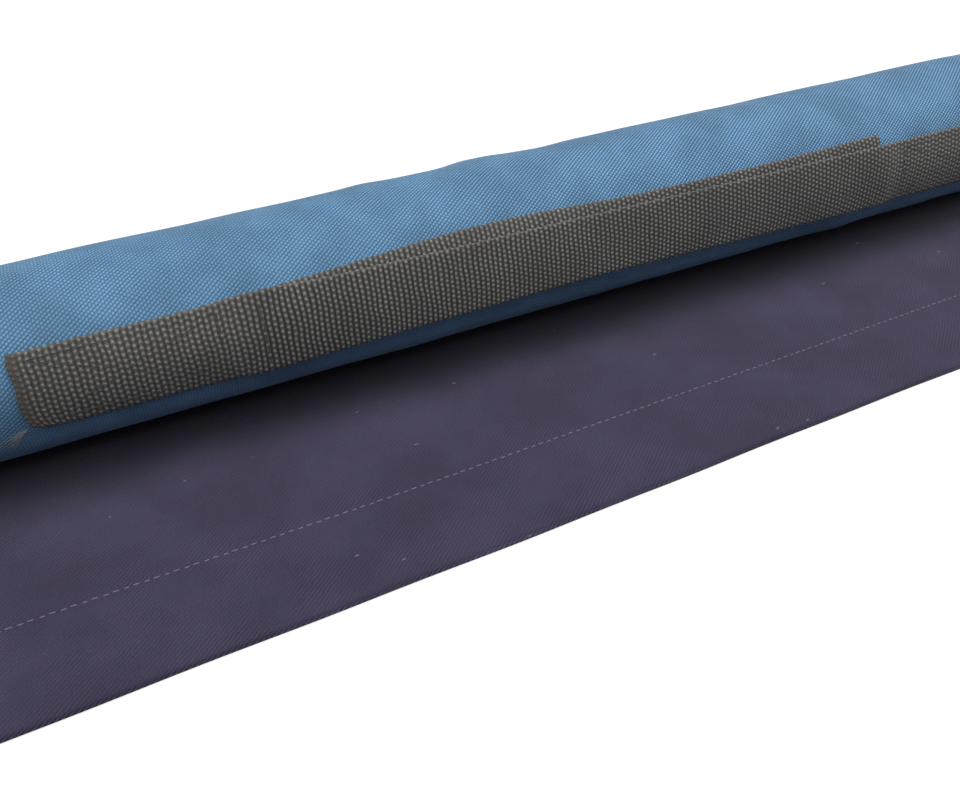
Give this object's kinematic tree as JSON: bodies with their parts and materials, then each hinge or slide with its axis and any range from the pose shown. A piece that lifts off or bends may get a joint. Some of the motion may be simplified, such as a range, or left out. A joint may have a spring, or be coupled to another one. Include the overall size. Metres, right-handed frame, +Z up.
{
  "type": "padded tube carry case",
  "caption": "Long padded tube carry case with cloth cover, zipped hinged end lid, sewn webbing handle and a flat two-channel inner sleeve.",
  "frame": {"origin": "on the floor plane under the tube axis, at the middle of the case and of its handle", "axes": "+X along the tube from the closed base to the zipped lid, +Z up, the handle faces -Y"},
  "size_m": [1.18, 0.1452, 0.0561],
  "materials": {
    "cover_cloth": "plain-woven nylon, slight sheen",
    "seam_tape": "woven tape",
    "binding_tape": "ribbed binding tape",
    "webbing": "coarse ribbed webbing",
    "sleeve_cloth": "soft twill cloth",
    "dark_thread": "sewing thread",
    "sleeve_thread": "sewing thread",
    "zip_tape": "woven zip tape",
    "zip_coil": "nylon coil",
    "slider_metal": "dark plated metal",
    "tube_plastic": "extruded plastic",
    "plug_plastic": "moulded plastic",
    "foam": "closed-cell foam"
  },
  "bodies": {
    "case": {"inner_tube": "tube_plastic", "foam_wrap": "foam", "outer_cover": "cover_cloth", "cover_seam_tape": "seam_tape", "cover_seam_thread": "dark_thread", "base_plug": "plug_plastic", "base_pad": "foam", "base_cover": "cover_cloth", "base_binding": "binding_tape", "base_binding_thread": "dark_thread", "zip_tape_case": "zip_tape", "zip_coil_case": "zip_coil", "zip_stops": "slider_metal", "mouth_binding": "binding_tape", "mouth_binding_thread": "dark_thread", "hinge_leaf_case": "cover_cloth", "hinge_leaf_case_thread": "dark_thread", "strap_end_left": "webbing", "strap_end_right": "webbing", "strap_stitches_left": "dark_thread", "strap_stitches_right": "dark_thread", "sleeve_lower_panel": "sleeve_cloth", "sleeve_upper_panel": "sleeve_cloth", "sleeve_channel_thread": "sleeve_thread", "sleeve_edge_thread": "sleeve_thread", "sleeve_hem_thread": "sleeve_thread"},
    "lid": {"lid_ring": "tube_plastic", "lid_plug": "plug_plastic", "lid_foam": "foam", "lid_pad": "foam", "lid_side_cover": "cover_cloth", "lid_top_cover": "cover_cloth", "lid_binding": "binding_tape", "lid_binding_thread": "dark_thread", "zip_tape_lid": "zip_tape", "zip_coil_lid": "zip_coil", "lid_mouth_binding": "binding_tape", "lid_mouth_binding_thread": "dark_thread", "hinge_leaf_lid": "cover_cloth", "hinge_leaf_lid_thread": "dark_thread"},
    "zip_slider": {"slider_body": "slider_metal", "slider_bail": "slider_metal"},
    "zip_pull": {"pull_tab": "slider_metal"},
    "handle": {"handle_grip_strap": "webbing", "handle_backing_strap": "webbing", "handle_ply_stitches": "dark_thread"}
  },
  "joints": [
    {"name": "lid_hinge", "type": "hinge", "parent": "case", "child": "lid", "pos_m": [0.544, 0, 0.0555], "axis": [0, -1, 0], "range_deg": [0, 120]},
    {"name": "zip_travel", "type": "hinge", "parent": "case", "child": "zip_slider", "pos_m": [0.544, 0, 0.0281], "axis": [1, 0, 0], "range_deg": [0, 264]},
    {"name": "pull_swing", "type": "hinge", "parent": "zip_slider", "child": "zip_pull", "pos_m": [0.544, -0.02155, 0.0475], "axis": [0, 0.6691, 0.7431], "range_deg": [0, 150]},
    {"name": "handle_lift", "type": "slide", "parent": "case", "child": "handle", "axis": [0, -0.9848, 0.1736], "range_m": [0, 0.022]}
  ]
}
